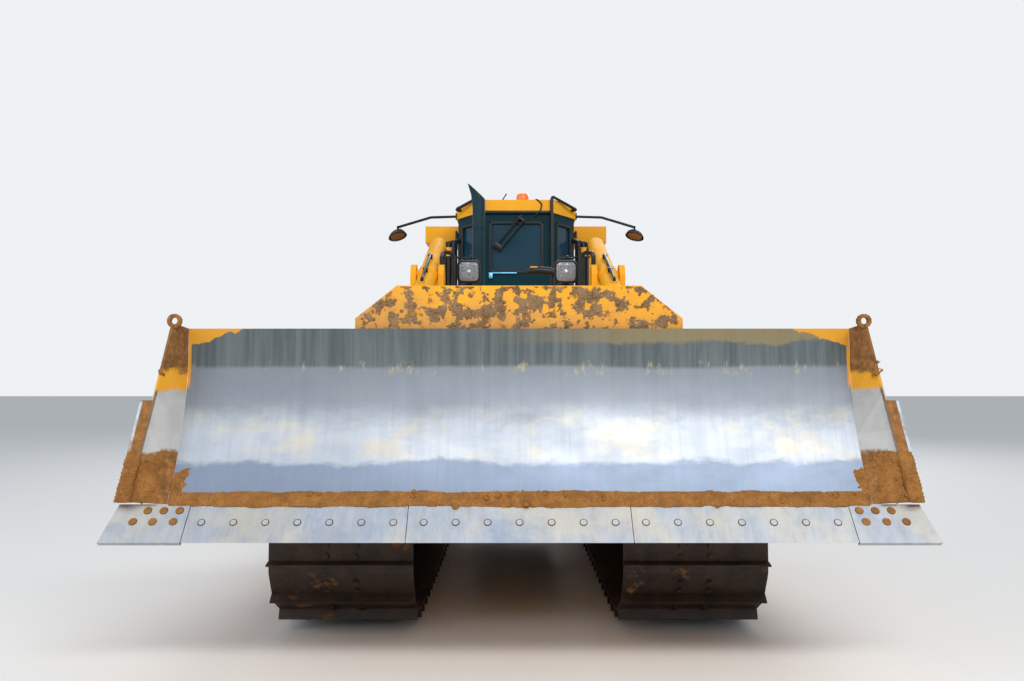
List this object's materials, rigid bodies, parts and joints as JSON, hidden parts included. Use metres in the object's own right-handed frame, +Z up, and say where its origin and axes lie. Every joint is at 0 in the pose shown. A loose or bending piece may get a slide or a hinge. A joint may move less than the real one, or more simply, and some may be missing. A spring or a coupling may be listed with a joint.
{
  "type": "wide-track crawler bulldozer",
  "caption": "Wide-track crawler bulldozer with a raised straight-tilt blade, outside push arms, lift cylinders, hexagonal cab and protection frame.",
  "frame": {"origin": "on the ground under the middle of the bounding box", "axes": "-Y to the blade, +Y to the drawbar, +X to the machine's left as its driver sits, +Z up"},
  "size_m": [4.364, 5.88, 3.35],
  "materials": {
    "body_yellow": "satin paint with mud and rust",
    "cab_black": "black paint",
    "frame_steel": "worn dark paint under mud",
    "blade_steel": "polished by soil",
    "edge_steel": "ground steel with scratches",
    "track_steel": "rusty steel with soil",
    "wheel_steel": "rusty cast steel",
    "rod_chrome": "hard chrome",
    "exhaust_black": "heat-proof black",
    "window_glass": "tinted",
    "lamp_glass": "ribbed lens",
    "beacon_orange": "moulded",
    "seat_fabric": "woven",
    "dark_plastic": "grained"
  },
  "bodies": {
    "tractor": {"main_frame": "frame_steel", "engine_block": "frame_steel", "hood": "body_yellow", "radiator_guard": "body_yellow", "radiator_grille": "cab_black", "radiator_core": "frame_steel", "lift_yokes": "body_yellow", "work_lamps": "cab_black", "lamp_lenses": "lamp_glass", "exhaust_stack": "exhaust_black", "track_frames": "body_yellow", "track_left": "track_steel", "track_right": "track_steel", "sprockets": "wheel_steel", "idlers": "wheel_steel", "track_rollers": "wheel_steel", "carrier_rollers": "wheel_steel", "equalizer_bar": "frame_steel", "pivot_shafts": "frame_steel", "final_drives": "body_yellow", "fenders": "body_yellow", "deck": "frame_steel", "fuel_tank": "body_yellow", "drawbar": "frame_steel", "cab_frame": "cab_black", "cab_roof": "body_yellow", "cab_glass": "window_glass", "seat_base": "dark_plastic", "seat_cushion": "seat_fabric", "seat_back": "seat_fabric", "console": "dark_plastic", "armrests": "dark_plastic", "rops_frame": "body_yellow", "lamp_arms": "cab_black", "lift_pipes": "cab_black", "grab_rails": "cab_black", "beacon": "beacon_orange"},
    "blade": {"moldboard": "blade_steel", "blade_frame": "body_yellow", "end_plates": "body_yellow", "cutting_edges": "edge_steel", "end_bits": "edge_steel", "spill_guard": "body_yellow", "push_arms": "body_yellow", "pitch_braces": "body_yellow"},
    "lift_barrel_left": {"lift_barrel_left": "body_yellow"},
    "lift_barrel_right": {"lift_barrel_right": "body_yellow"},
    "lift_rod_left": {"lift_rod_left": "rod_chrome"},
    "lift_rod_right": {"lift_rod_right": "rod_chrome"},
    "cab_door_left": {"cab_door_left": "cab_black", "cab_door_glass_left": "window_glass"},
    "cab_door_right": {"cab_door_right": "cab_black", "cab_door_glass_right": "window_glass"},
    "engine_door_left": {"engine_door_left": "body_yellow"},
    "engine_door_right": {"engine_door_right": "body_yellow"}
  },
  "joints": [
    {"name": "blade_lift", "type": "hinge", "parent": "tractor", "child": "blade", "pos_m": [0, 0.14, 0.52], "axis": [-1, 0, 0], "range_deg": [-25, 7]},
    {"name": "lift_swing_left", "type": "hinge", "parent": "tractor", "child": "lift_barrel_left", "pos_m": [-0.63, -1.41, 2.375], "axis": [-1, 0, 0], "range_deg": [-31, 9.4]},
    {"name": "lift_slide_left", "type": "slide", "parent": "lift_barrel_left", "child": "lift_rod_left", "axis": [0, -0.9234, -0.3838], "range_m": [-0.2884, 1.0173]},
    {"name": "cab_door_left", "type": "hinge", "parent": "tractor", "child": "cab_door_left", "pos_m": [-0.568, 1.304, 2.3], "axis": [0, 0, -1], "range_deg": [0, 90]},
    {"name": "engine_door_left", "type": "hinge", "parent": "tractor", "child": "engine_door_left", "pos_m": [-0.483, -1.15, 1.54], "axis": [0, 0, 1], "range_deg": [0, 90]},
    {"name": "lift_swing_right", "type": "hinge", "parent": "tractor", "child": "lift_barrel_right", "pos_m": [0.63, -1.41, 2.375], "axis": [-1, 0, 0], "range_deg": [-31, 9.4]},
    {"name": "lift_slide_right", "type": "slide", "parent": "lift_barrel_right", "child": "lift_rod_right", "axis": [0, -0.9234, -0.3838], "range_m": [-0.2884, 1.0173]},
    {"name": "cab_door_right", "type": "hinge", "parent": "tractor", "child": "cab_door_right", "pos_m": [0.568, 1.304, 2.3], "axis": [0, 0, 1], "range_deg": [0, 90]},
    {"name": "engine_door_right", "type": "hinge", "parent": "tractor", "child": "engine_door_right", "pos_m": [0.483, -1.15, 1.54], "axis": [0, 0, -1], "range_deg": [0, 90]}
  ],
  "couplings": [
    {"joint": "lift_swing_left", "follows": "blade_lift", "ratio": 1.2},
    {"joint": "lift_slide_left", "follows": "blade_lift", "m_per_rad": -2.32},
    {"joint": "lift_swing_right", "follows": "blade_lift", "ratio": 1.2},
    {"joint": "lift_slide_right", "follows": "blade_lift", "m_per_rad": -2.32}
  ]
}
